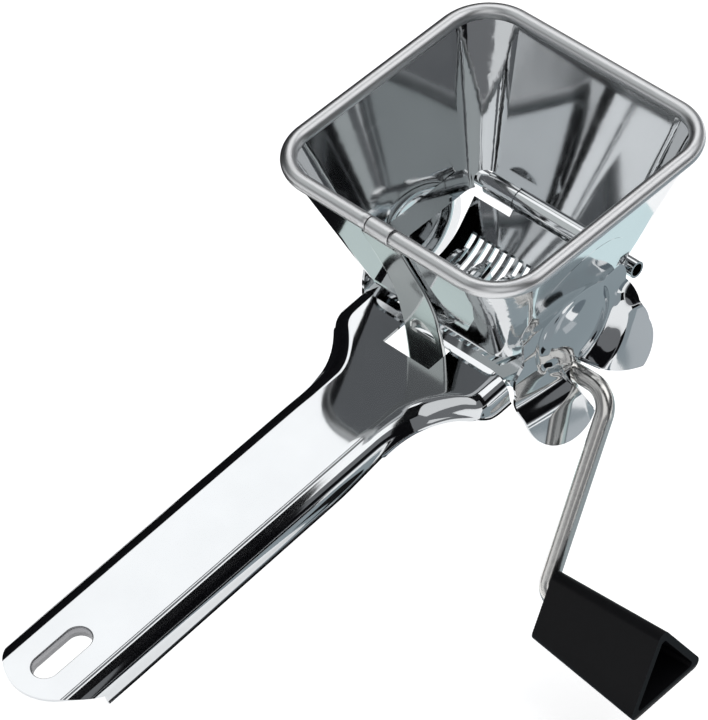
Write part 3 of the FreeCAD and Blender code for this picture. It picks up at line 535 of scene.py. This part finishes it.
# %% Cheek surface
EASE = 0.9
RING_OUT = 28.1
FLARE_TOP, FLARE_FADE = 0.0, 9.0
FRONT_STRETCH = 0.3
FRONT_TURN, TURN_FROM = 0.07, 3.0
DIMPLE = Vector((-32.5, -10.3))
DIMPLE_HEIGHT, DIMPLE_WIDTH = 0.8, 2.3
WALL_FOOT_OUT, WALL_FOOT, WALL_HEIGHT, WALL_SPREAD = 25.8, -0.2, 41.0, 15.0
WALL_GAP = 0.04


def wall_out(height):
    return WALL_FOOT_OUT + (height - WALL_FOOT) / WALL_HEIGHT * WALL_SPREAD


def eased_max(one, other):
    gap = one - other
    highest = (one + other + math.sqrt(gap * gap + EASE * EASE)) / 2
    return highest - EASE * EASE / (4 * (abs(gap) + EASE))


def flare_radius(offset):
    across = offset.x * FRONT_STRETCH if offset.x < 0 else offset.x
    return math.hypot(across, offset.y)


def pressed_out(spot):
    offset = spot - DISH_MIDDLE
    fade = min(max((FLARE_TOP - spot.y) / FLARE_FADE, 0.0), 1.0)
    turned_in = FRONT_TURN * max(0.0, -offset.x - TURN_FROM)
    flare = table_at(petal_table, flare_radius(offset)) - turned_in
    flare *= fade * fade * (3 - 2 * fade)
    dimple = DIMPLE_HEIGHT * bell((spot - DIMPLE).length, DIMPLE_WIDTH)
    pressing = RING_OUT + table_at(dish_table, offset.length) + flare + dimple
    return eased_max(pressing, wall_out(spot.y) + WALL_GAP)


print("the dish's middle stands out to", round(pressed_out(DISH_MIDDLE), 2), "mm")

# %% [markdown]
# The mesh is a fan of rings about one middle point, each point pushed out to the pressed surface. A flat
# grid would leave a stepped edge, while a fan follows the outline exactly. One modifier gives the sheet its
# thickness and the next keeps the cut edge crisp.

# %% Cheek mesh
RINGS = 96
CHEEK_SHEET = 1.01 * SHEET
CHEEK_EDGE = math.radians(60)


def new_mesh(name, points, faces):
    mesh = bpy.data.meshes.new(name)
    mesh.from_pydata(points, [], faces)
    mesh.update()
    return mesh


def link_mesh(mesh, body, finish):
    item = bpy.data.objects.new(mesh.name, mesh)
    scene.collection.objects.link(item)
    mesh.materials.append(finish)
    mesh.polygons.foreach_set("use_smooth", [True] * len(mesh.polygons))
    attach(item, body)
    return item


def give_thickness(item, thickness):
    thick = item.modifiers.new("sheet", "SOLIDIFY")
    thick.thickness = thickness * MM
    thick.offset = -1


def keep_crisp(item, angle):
    crisp = item.modifiers.new("cut_edge", "EDGE_SPLIT")
    crisp.split_angle = angle


def cheek_point(angle, radius, sign):
    spot = FAN_MIDDLE + Vector((math.cos(angle), math.sin(angle))) * radius
    return Vector((sign * pressed_out(spot), spot.x, spot.y)) * MM


def fan_faces():
    faces = [(0, 1 + step, 1 + (step + 1) % RAYS) for step in range(RAYS)]
    for low in range(1, 1 + (RINGS - 1) * RAYS, RAYS):
        for step in range(RAYS):
            after = (step + 1) % RAYS
            faces.append((low + step, low + RAYS + step, low + RAYS + after, low + after))
    return faces


def make_cheek(name, sign, node):
    points = [cheek_point(0, 0, sign)]
    for ring in range(1, RINGS + 1):
        points += [cheek_point(angle, reach * ring / RINGS, sign)
                   for angle, reach in zip(ray_angles, reaches)]
    faces = [face[::sign] for face in fan_faces()]
    mesh = new_mesh(name, points, faces)
    cheek = link_mesh(mesh, "hopper", FINISHES["polished_steel"])
    give_thickness(cheek, CHEEK_SHEET)
    keep_crisp(cheek, CHEEK_EDGE)
    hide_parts(node)
    return cheek


cheeks = [make_cheek("crank_cheek_pressing", 1, "crank_cheek"),
          make_cheek("far_cheek_pressing", -1, "far_cheek")]
print("cheek faces:", [len(cheek.data.polygons) for cheek in cheeks])

# %% [markdown]
# ## Channel handle
# The handle is one blank, pressed over a block: flat on top, with both sides turned down. A bevelled box
# would have the same bend all along, but hand pressing leaves softer bends at the neck than along the grip.
# So the outline comes first: half the width, the bend and the depth of the side at each place along it.

# %% Handle outline
HANDLE_AHEAD, HANDLE_DROP, HANDLE_TILT = 46.5, 5.2, math.radians(3.4)
GRIP_HALF, HORN_HALF, END_CENTRE = 14.6, 26.0, 132.4
SHOULDER, WAIST = 6.5, 33.6
SHOULDER_AT, TOUCH_AT, NECK_AT = 7.0, 11.54, 35.0
BEND, PLATE_LEAST = 5.5, 8.9
NECK_SOFTNESS, NECK_MIDDLE, NECK_REACH = 2.2, 21, 9
EDGE_DEPTHS = [(0, 8.8), (7, 8.8), (13, 4.8), (29, 4.8), (49.6, 7.4), (147, 8.4)]
DEPTH_SHIFTS = range(-3, 4)


def half_width(along):
    if along <= SHOULDER_AT:
        return HORN_HALF
    if along <= TOUCH_AT:
        return HORN_HALF - SHOULDER + math.sqrt(SHOULDER ** 2 - (along - SHOULDER_AT) ** 2)
    if along < NECK_AT:
        return GRIP_HALF + WAIST - math.sqrt(WAIST ** 2 - (NECK_AT - along) ** 2)
    return GRIP_HALF


def bend_radius(along):
    soft = BEND + NECK_SOFTNESS * bell(along - NECK_MIDDLE, NECK_REACH)
    return min(soft, half_width(along) - PLATE_LEAST)


def depth_at(along):
    for (v0, d0), (v1, d1) in zip(EDGE_DEPTHS, EDGE_DEPTHS[1:]):
        if along <= v1:
            return d0 + (d1 - d0) * (along - v0) / (v1 - v0)
    return EDGE_DEPTHS[-1][1]


def edge_depth(along):
    places = [min(max(along + shift, 0), EDGE_DEPTHS[-1][0]) for shift in DEPTH_SHIFTS]
    return sum(depth_at(place) for place in places) / len(places)


print("half width at the horn, neck and grip:", [round(half_width(v), 2) for v in (0, 20, 60)])

# %% [markdown]
# The sheet is laid out in rows along the handle, and each row walks across the plate, round the bend and
# down the side, where the lower edge curls out a little. The last rows close in on the round end. Rows keep
# the faces in step with the bends, so the long highlights on the grip stay straight.

# %% Handle sheet
PLATE_COLUMNS = [0, 1.2, 2.4, 3.6, 4.8, 6, 7.2, 8.4]
SIDE_STEPS, BEND_STEPS, WALL_STEPS = 8, 16, 8
HEM_HEIGHT, HEM_OUT = 1.3, 0.55
LAST_EVEN_ROW = 122.0
ROWS_EVEN, ROWS_END = 170, 40


def section(along):
    radius = bend_radius(along)
    flat = half_width(along) - radius
    depth = edge_depth(along)
    inner = PLATE_COLUMNS[-1]
    spots = [(x, 0.0) for x in PLATE_COLUMNS]
    spots += [(inner + (flat - inner) * step / SIDE_STEPS, 0.0) for step in range(1, SIDE_STEPS + 1)]
    last = math.acos(max(radius - depth, 0.0) / radius)
    for step in range(1, BEND_STEPS + 1):
        turn = last * step / BEND_STEPS
        spots.append((flat + radius * math.sin(turn), radius * (math.cos(turn) - 1)))
    x, z = spots[-1]
    spots += [(x, z + (-depth - z) * step / WALL_STEPS) for step in range(1, WALL_STEPS + 1)]
    return [(x + HEM_OUT * max(0.0, 1 - (z + depth) / HEM_HEIGHT) ** 2, z) for x, z in spots]


def handle_spot(x, along, z):
    y = -HANDLE_AHEAD - along * math.cos(HANDLE_TILT) - z * math.sin(HANDLE_TILT)
    height = -HANDLE_DROP - along * math.sin(HANDLE_TILT) + z * math.cos(HANDLE_TILT)
    return Vector((x, y, height)) * MM


def round_end(x):
    return END_CENTRE + math.sqrt(max(GRIP_HALF ** 2 - min(x, GRIP_HALF) ** 2, 0))


def handle_row(share, even):
    along = LAST_EVEN_ROW * share if even else LAST_EVEN_ROW
    half = [(x, along, z) for x, z in section(along)]
    if not even:
        half = [(x, v + (round_end(x) - v) * share, z) for x, v, z in half]
    left = [handle_spot(-x, v, z) for x, v, z in half[:0:-1]]
    return left + [handle_spot(x, v, z) for x, v, z in half]


def sheet_faces(rows, wide, start=0):
    return [(low + step, low + wide + step, low + wide + step + 1, low + step + 1)
            for low in range(start, start + (rows - 1) * wide, wide) for step in range(wide - 1)]


def make_handle():
    rows = [handle_row(row / ROWS_EVEN, True) for row in range(ROWS_EVEN + 1)]
    rows += [handle_row(math.sin(math.pi / 2 * row / ROWS_END), False) for row in range(1, ROWS_END + 1)]
    points = [spot for row in rows for spot in row]
    mesh = new_mesh("handle_pressing", points, sheet_faces(len(rows), len(rows[0])))
    return link_mesh(mesh, "handle", FINISHES["polished_steel"])


handle = make_handle()
print("handle faces:", len(handle.data.polygons))

# %% [markdown]
# ## Punched openings
# The window for the strap and the slot for a hook are punched last, as on a press. The rows could be bent
# round the holes, but that would spoil the even plate. So two cutters with the outlines of the punches go
# through the sheet, and the result is kept as a plain mesh.

# %% Punched openings
WINDOW_HALF, WINDOW_NEAR, WINDOW_FAR = 8.0, 1.4, 9.8
SLOT_HALF, SLOT_NEAR, SLOT_FAR = 3.6, 127.0, 137.8
LIP_ROOM = 0.35
ARC_STEPS = 24
PUNCH_HEIGHTS = (2, -4)
CUT_EDGE = math.radians(50)
WELD_GAP = 0.00001


def slot_outline(half):
    turns = [math.pi * step / ARC_STEPS for step in range(ARC_STEPS + 1)]
    near = [(half * math.cos(turn), SLOT_NEAR - half * math.sin(turn)) for turn in turns]
    far = [(-half * math.cos(turn), SLOT_FAR + half * math.sin(turn)) for turn in turns]
    return near + far


def mend_mesh(mesh, weld=True, face_out=True):
    shape = bmesh.new()
    shape.from_mesh(mesh)
    if weld:
        bmesh.ops.remove_doubles(shape, verts=shape.verts, dist=WELD_GAP)
    if face_out:
        bmesh.ops.recalc_face_normals(shape, faces=shape.faces)
    shape.to_mesh(mesh)
    shape.free()
    return mesh


def make_punch(outline):
    count = len(outline)
    spots = [handle_spot(x, v, z) for z in PUNCH_HEIGHTS for x, v in outline]
    faces = [tuple(range(count)), tuple(range(2 * count - 1, count - 1, -1))]
    faces += [(step, count + step, count + (step + 1) % count, (step + 1) % count)
              for step in range(count)]
    punch = bpy.data.objects.new("punch", mend_mesh(new_mesh("punch", spots, faces), weld=False))
    scene.collection.objects.link(punch)
    return punch


def keep_result(item):
    bpy.context.view_layer.update()
    ready = item.evaluated_get(bpy.context.evaluated_depsgraph_get())
    result = bpy.data.meshes.new_from_object(ready)
    item.modifiers.clear()
    item.data = result


def punch_openings(sheet):
    give_thickness(sheet, SHEET)
    window = [(WINDOW_HALF, WINDOW_NEAR), (WINDOW_HALF, WINDOW_FAR),
              (-WINDOW_HALF, WINDOW_FAR), (-WINDOW_HALF, WINDOW_NEAR)]
    punches = [make_punch(outline) for outline in (window, slot_outline(SLOT_HALF + LIP_ROOM))]
    for punch in punches:
        cut = sheet.modifiers.new("punched", "BOOLEAN")
        cut.object = punch
        cut.operation = "DIFFERENCE"
        cut.solver = "EXACT"
    keep_result(sheet)
    for punch in punches:
        bpy.data.objects.remove(punch)
    keep_crisp(sheet, CUT_EDGE)


punch_openings(handle)
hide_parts("handle_channel")
print("faces after punching:", len(handle.data.polygons))

# %% [markdown]
# The slot's edge is turned down into a lip, so that a hook doesn't cut into it. The lip is left rougher, as
# it comes from the tool, and its colour is darkened as painted shade for the shadow inside the slot. Its
# rounded section is carried once round the slot's outline, which is quicker and cleaner than bevelling the
# edge that the cutter left.

# %% Slot lip
LIP_PROFILE = [(0.36, -0.03), (0.18, -0.1), (0.05, -0.3), (0.0, -0.6),
               (0.0, -3.4), (0.35, -3.5), (0.8, -3.4), (0.8, -0.78)]


def make_slot_lip():
    rings = [[handle_spot(x, v, z) for x, v in slot_outline(SLOT_HALF + out)] for out, z in LIP_PROFILE]
    count = len(rings[0])
    faces = [(low + step, low + (step + 1) % count, low + count + (step + 1) % count, low + count + step)
             for low in range(0, (len(rings) - 1) * count, count) for step in range(count)]
    mesh = new_mesh("hang_slot_lip", [spot for ring in rings for spot in ring], faces)
    # the dark colour is painted shade inside the slot; the higher roughness is the raw edge
    dull_shaded_lip = polished_sheet("rough_shaded_lip_steel", (0.3, 0.3, 0.31), roughness=(0.3, 0.45), wave=80,
                          height=0.00002)
    return link_mesh(mesh, "handle", dull_shaded_lip)


slot_lip = make_slot_lip()
print("lip faces:", len(slot_lip.data.polygons))

# %% [markdown]
# ## Rolled rim
# The mouth's edge is rolled round into a tube. Its two ends meet in the middle of the front, under a short
# sleeve that is pressed over the joint and leaves a dark crease on either side. A bevelled curve would give
# a plain tube and leave the sleeve as a loose ring. So stations are set along the rounded square, and near
# the joint they take their radius from the sleeve's own profile.

# %% Rim path
RIM_HALF, RIM_CORNER, RIM_MIDDLE, RIM_LEVEL, RIM_RADIUS = 40.0, 13.0, -20.5, 40.8, 2.19
CORNER_STEPS, EDGE_STEPS, RING_STEPS = 24, 24, 48
SLEEVE_MIDDLE, SLEEVE_END, SLEEVE_RADIUS = -0.55, 3.65, 2.42
CREASE_RADIUS = 2.05
JOINT_ROOM = 1
FACING_FRONT = -math.pi / 2
SLEEVE_PROFILE = [(SLEEVE_END + 0.55, RIM_RADIUS), (SLEEVE_END + 0.48, 2.12),
                  (SLEEVE_END + 0.4, CREASE_RADIUS), (SLEEVE_END + 0.1, CREASE_RADIUS),
                  (SLEEVE_END + 0.03, 2.12), (SLEEVE_END, 2.28),
                  (SLEEVE_END - 0.12, 2.38), (SLEEVE_END - 0.35, SLEEVE_RADIUS)]


def joint_stations():
    left = [(SLEEVE_MIDDLE - out, radius) for out, radius in SLEEVE_PROFILE]
    right = [(SLEEVE_MIDDLE + out, radius) for out, radius in SLEEVE_PROFILE[::-1]]
    return left + right


def rim_stations():
    flat = RIM_HALF - RIM_CORNER
    evenly = [-flat + 2 * flat * step / EDGE_STEPS for step in range(EDGE_STEPS + 1)]
    spread = [(x, RIM_RADIUS) for x in evenly if abs(x - SLEEVE_MIDDLE) > SLEEVE_END + JOINT_ROOM]
    front = sorted(spread + joint_stations())
    stations = [(x, -RIM_HALF, FACING_FRONT, radius) for x, radius in front]
    for side in range(4):
        turn = side * math.pi / 2
        middle = Matrix.Rotation(turn, 2) @ Vector((flat, -flat))
        for step in range(CORNER_STEPS + 1):
            angle = turn - math.pi / 2 + math.pi / 2 * step / CORNER_STEPS
            spot = middle + RIM_CORNER * Vector((math.cos(angle), math.sin(angle)))
            stations.append((spot.x, spot.y, angle, RIM_RADIUS))
    return stations


stations = rim_stations()
print("rings along the rim:", len(stations))

# %% [markdown]
# A ring of points at each station, joined to the next one, makes the tube in one skin. The sleeve is a
# little thicker than the rim, so its rings sink by as much and the mouth keeps its height. Each crease gets a
# thin dark bead in the groove, because dirt and shadow gather there on the real joint.

# %% Rim mesh
BEAD_STEPS, BEAD_RADIUS, BEAD_REACH = 12, 0.15, 2.0
CREASE_OFF = 0.25


def tube_ring(x, y, angle, radius):
    drop = max(radius - RIM_RADIUS, 0)
    turns = [2 * math.pi * step / RING_STEPS for step in range(RING_STEPS)]
    across = [radius * math.cos(turn) for turn in turns]
    return [Vector((x + out * math.cos(angle), RIM_MIDDLE + y + out * math.sin(angle),
                    RIM_LEVEL - drop + radius * math.sin(turn))) * MM
            for out, turn in zip(across, turns)]


def closed_tube(name, rings):
    count = len(rings[0])
    faces = []
    for index in range(len(rings)):
        low, high = index * count, (index + 1) % len(rings) * count
        faces += [(low + step, high + step, high + (step + 1) % count, low + (step + 1) % count)
                  for step in range(count)]
    return mend_mesh(new_mesh(name, [spot for ring in rings for spot in ring], faces))


def make_crease(name, x):
    bead = [2 * math.pi * step / BEAD_STEPS for step in range(BEAD_STEPS)]
    rings = [tube_ring(x + BEAD_RADIUS * math.cos(turn), -RIM_HALF, FACING_FRONT,
                       BEAD_REACH + BEAD_RADIUS * math.sin(turn)) for turn in bead]
    return link_mesh(closed_tube(name, rings), "hopper", crease_finish)


rim_mesh = closed_tube("rim_rolled_edge", [tube_ring(*station) for station in stations])
rim = link_mesh(rim_mesh, "hopper", FINISHES["rim_steel"])
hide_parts("rim_roll")
crease_finish = polished_sheet("dark_crease", (0.03, 0.03, 0.033), roughness=(0.5, 0.7), wave=200,
                               height=0.00001)
creases = [make_crease("rim_crease_left", SLEEVE_MIDDLE - SLEEVE_END - CREASE_OFF),
           make_crease("rim_crease_right", SLEEVE_MIDDLE + SLEEVE_END + CREASE_OFF)]
print("rim faces:", len(rim.data.polygons), "creases:", len(creases))

# %% [markdown]
# ## Spring strap
# A strip of the same sheet hangs from under the rim, close along the front wall, and runs straight down
# through the window in the handle. It keeps the hopper shut. A half-round hood is lanced out of it just above
# the handle: cut along its lower edge and pressed inward. A cutter and a ball could make that too, with a
# seam between them. Here one row of points is doubled at the cut, so the sheet opens there and the hood
# stays a true opening.

# %% Strap line
STRAP_HALF = 7.0
STRAP_LINE = [(-61.5, 37.7), (-59.8, 33.0), (-57.95, 28.0), (-55.75, 22.0), (-53.55, 16.0),
              (-51.2, 7.0), (-49.75, -3.0), (-49.2, -10.0), (-48.9, -17.0), (-48.85, -19.4)]
STRAP_TOP, STRAP_FOOT = STRAP_LINE[0][1], STRAP_LINE[-1][1]
SOFT_STEP, SOFT_COUNT, SOFT_ENDS = 0.5, 8, 4


def strap_y(height):
    for (y0, z0), (y1, z1) in zip(STRAP_LINE, STRAP_LINE[1:]):
        if height >= z1:
            return y0 + (y1 - y0) * (z0 - height) / (z0 - z1)
    return STRAP_LINE[-1][0]


def soft_strap_y(height):
    shifts = [SOFT_STEP * step for step in range(-SOFT_COUNT, SOFT_COUNT + 1)]
    reach = min(1.0, (STRAP_TOP - height) / SOFT_ENDS, (height - STRAP_FOOT) / SOFT_ENDS)
    return sum(strap_y(height + shift * reach) for shift in shifts) / len(shifts)


print("the strap passes the handle at Y", round(soft_strap_y(-HANDLE_DROP), 2), "mm")

# %% [markdown]
# The strap's mesh is a plain grid of rows down that line. The hood is a quarter of a ball pressed into the
# rows above the cut, and the long edges turn in a little, as sheared edges do.

# %% Strap mesh
STRAP_ROWS, FOOT_ROWS, STRAP_COLUMNS = 160, 40, 84
HOOD_CUT, HOOD_HALF, HOOD_HEIGHT, HOOD_DEPTH = -4.2, 4.3, 6.2, 2.1
EDGE_FROM, EDGE_TURN = 6.2, 0.4


def hood_dent(x, height):
    ball = 1 - (x / HOOD_HALF) ** 2 - ((height - HOOD_CUT) / HOOD_HEIGHT) ** 2
    return HOOD_DEPTH * math.sqrt(ball) if ball > 0 else 0.0


def edge_turn(x):
    share = max(0.0, abs(x) - EDGE_FROM) / (STRAP_HALF - EDGE_FROM)
    return EDGE_TURN * share * share


def strap_row(height, above_cut):
    row = []
    for column in range(STRAP_COLUMNS + 1):
        x = STRAP_HALF * (2 * column / STRAP_COLUMNS - 1)
        dent = edge_turn(x) + (hood_dent(x, height) if above_cut else 0.0)
        row.append(Vector((x, soft_strap_y(height) + dent, height)) * MM)
    return row


def strap_mesh(name):
    upper = [STRAP_TOP + (HOOD_CUT - STRAP_TOP) * row / STRAP_ROWS for row in range(STRAP_ROWS + 1)]
    lower = [HOOD_CUT + (STRAP_FOOT - HOOD_CUT) * row / FOOT_ROWS for row in range(FOOT_ROWS + 1)]
    points, faces = [], []
    for heights, above_cut in ((upper, True), (lower, False)):
        faces += sheet_faces(len(heights), STRAP_COLUMNS + 1, len(points))
        for height in heights:
            points += strap_row(height, above_cut)
    return mend_mesh(new_mesh(name, points, faces), face_out=False)


strap_finish = polished_sheet("bright_strap_steel", (0.6, 0.615, 0.61), roughness=(0.07, 0.14), wave=50,
                              height=0.00003)
strap = link_mesh(strap_mesh("latch_strap_pressing"), "latch", strap_finish)
give_thickness(strap, SHEET)
keep_crisp(strap, CUT_EDGE)
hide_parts("latch_strap")
print("strap faces:", len(strap.data.polygons))

# %% [markdown]
# ## Knob edges
# A moulding tool never leaves a knife edge, so the knob's edges are broken a little. The knob could be
# modelled again for that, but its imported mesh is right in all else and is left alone: one modifier joins
# its split corners, and the next one rounds them.

# %% Knob edges
KNOB_EDGE, KNOB_EDGE_STEPS = 0.0004, 3
KNOB_WELD = 0.000005
KNOB_SHARP = math.radians(40)


def soften_knob(knob):
    joined = knob.modifiers.new("joined", "WELD")
    joined.merge_threshold = KNOB_WELD
    rounded = knob.modifiers.new("rounded", "BEVEL")
    rounded.width = KNOB_EDGE
    rounded.segments = KNOB_EDGE_STEPS
    rounded.limit_method = "ANGLE"
    rounded.angle_limit = KNOB_SHARP


soften_knob(nodes["knob"])
print("knob edges rounded to", KNOB_EDGE)

# %% [markdown]
# ## Done

# %% Done
print("scene built")
